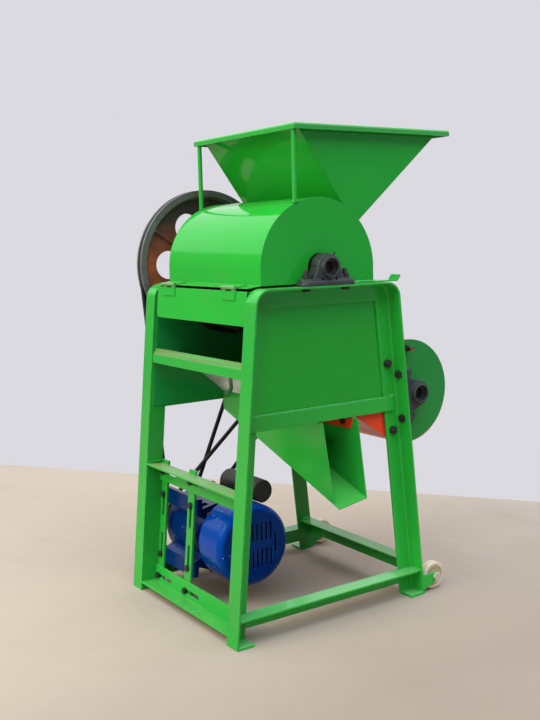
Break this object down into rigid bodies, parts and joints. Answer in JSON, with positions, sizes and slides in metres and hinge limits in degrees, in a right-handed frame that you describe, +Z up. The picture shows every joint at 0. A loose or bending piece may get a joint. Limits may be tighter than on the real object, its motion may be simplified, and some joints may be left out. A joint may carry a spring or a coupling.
{
  "type": "peanut sheller",
  "caption": "Electric peanut sheller: hopper over a hinged drum cover on a splayed angle-steel stand, belt-driven beater drum, blower, kernel chute and hull outlet.",
  "frame": {"origin": "on the floor, under the middle of the machine's overall outline", "axes": "+Z up, +Y along the drum axis towards the belts, +X towards the blower end"},
  "size_m": [0.604, 0.542, 1.0225],
  "materials": {
    "green_paint": "semi-gloss enamel",
    "galvanised_sheet": "dull zinc",
    "cast_housing": "painted casting",
    "bolt_steel": "dull black steel",
    "mild_steel": "bare steel",
    "shaft_steel": "turned steel",
    "belt_rubber": "worn matt",
    "blue_paint": "gloss enamel",
    "black_plastic": "matt",
    "core_steel": "laminated steel",
    "pulley_iron": "grey casting, rust-brown web",
    "orange_paint": "satin enamel",
    "cream_nylon": "moulded nylon"
  },
  "bodies": {
    "stand": {"front_side_frame": "green_paint", "rear_side_frame": "green_paint", "front_side_panel": "green_paint", "rear_side_panel": "green_paint", "mid_rails": "green_paint", "bottom_rails": "green_paint", "motor_cross_angles": "green_paint", "blower_end_panel": "green_paint", "blower_cross_angle": "green_paint", "lid_rest_angle": "green_paint", "foot_plates": "green_paint", "lid_clips": "green_paint", "hull_guard_panel": "green_paint", "hull_sill": "green_paint", "hull_slide": "galvanised_sheet", "kernel_chute": "green_paint", "drum_pillow_block_front": "cast_housing", "drum_pillow_block_rear": "cast_housing", "fan_pillow_block_front": "cast_housing", "fan_pillow_block_rear": "cast_housing", "block_bolts": "bolt_steel", "concave_rods": "mild_steel", "concave_ribs": "mild_steel", "main_belt": "belt_rubber", "fan_belt": "belt_rubber", "motor_bars": "green_paint", "motor_bolts": "bolt_steel", "motor_housing": "blue_paint", "motor_fan_shield": "blue_paint", "motor_drive_shield": "blue_paint", "motor_cowl": "blue_paint", "capacitor_cover": "black_plastic", "motor_stator": "core_steel", "fan_scroll": "orange_paint", "fan_disc_front": "green_paint", "fan_disc_rear": "green_paint", "blower_bolts": "bolt_steel", "hinge_frame_leaves": "green_paint", "wheel_brackets": "green_paint", "wheel_axles": "bolt_steel"},
    "drum": {"drum_shaft": "shaft_steel", "drum_discs": "mild_steel", "beater_bars": "mild_steel", "drum_bearing_rings": "shaft_steel", "drum_pulley": "pulley_iron"},
    "motor_rotor": {"motor_shaft": "shaft_steel", "motor_rotor_core": "core_steel", "motor_cooling_fan": "black_plastic", "motor_pulley": "pulley_iron"},
    "blower_rotor": {"fan_shaft": "shaft_steel", "fan_impeller": "mild_steel", "fan_bearing_rings": "shaft_steel", "fan_pulley": "pulley_iron"},
    "cover": {"drum_cover": "green_paint", "hopper_funnel": "green_paint", "hopper_rim": "green_paint", "hopper_posts": "green_paint", "hinge_lid_leaves": "green_paint"},
    "front_wheel": {"wheel_front": "cream_nylon"},
    "rear_wheel": {"wheel_rear": "cream_nylon"}
  },
  "joints": [
    {"name": "drum_spin", "type": "hinge", "parent": "stand", "child": "drum", "pos_m": [-0.054, -0.016, 0.7375], "axis": [0, 1, 0], "continuous": true},
    {"name": "motor_spin", "type": "hinge", "parent": "stand", "child": "motor_rotor", "pos_m": [-0.15257, -0.016, 0.14114], "axis": [0, 1, 0], "continuous": true},
    {"name": "blower_spin", "type": "hinge", "parent": "stand", "child": "blower_rotor", "pos_m": [0.18622, -0.016, 0.4549], "axis": [0, 1, 0], "continuous": true},
    {"name": "cover_hinge", "type": "hinge", "parent": "stand", "child": "cover", "pos_m": [-0.23293, -0.016, 0.703], "axis": [0, -1, 0], "range_deg": [0, 100]},
    {"name": "front_wheel_spin", "type": "hinge", "parent": "stand", "child": "front_wheel", "pos_m": [0.23297, -0.224, 0.031], "axis": [0, 1, 0], "continuous": true},
    {"name": "rear_wheel_spin", "type": "hinge", "parent": "stand", "child": "rear_wheel", "pos_m": [0.23297, 0.192, 0.031], "axis": [0, 1, 0], "continuous": true}
  ],
  "couplings": [
    {"joint": "motor_spin", "follows": "drum_spin", "ratio": 6.7812},
    {"joint": "blower_spin", "follows": "drum_spin", "ratio": 10.338}
  ]
}
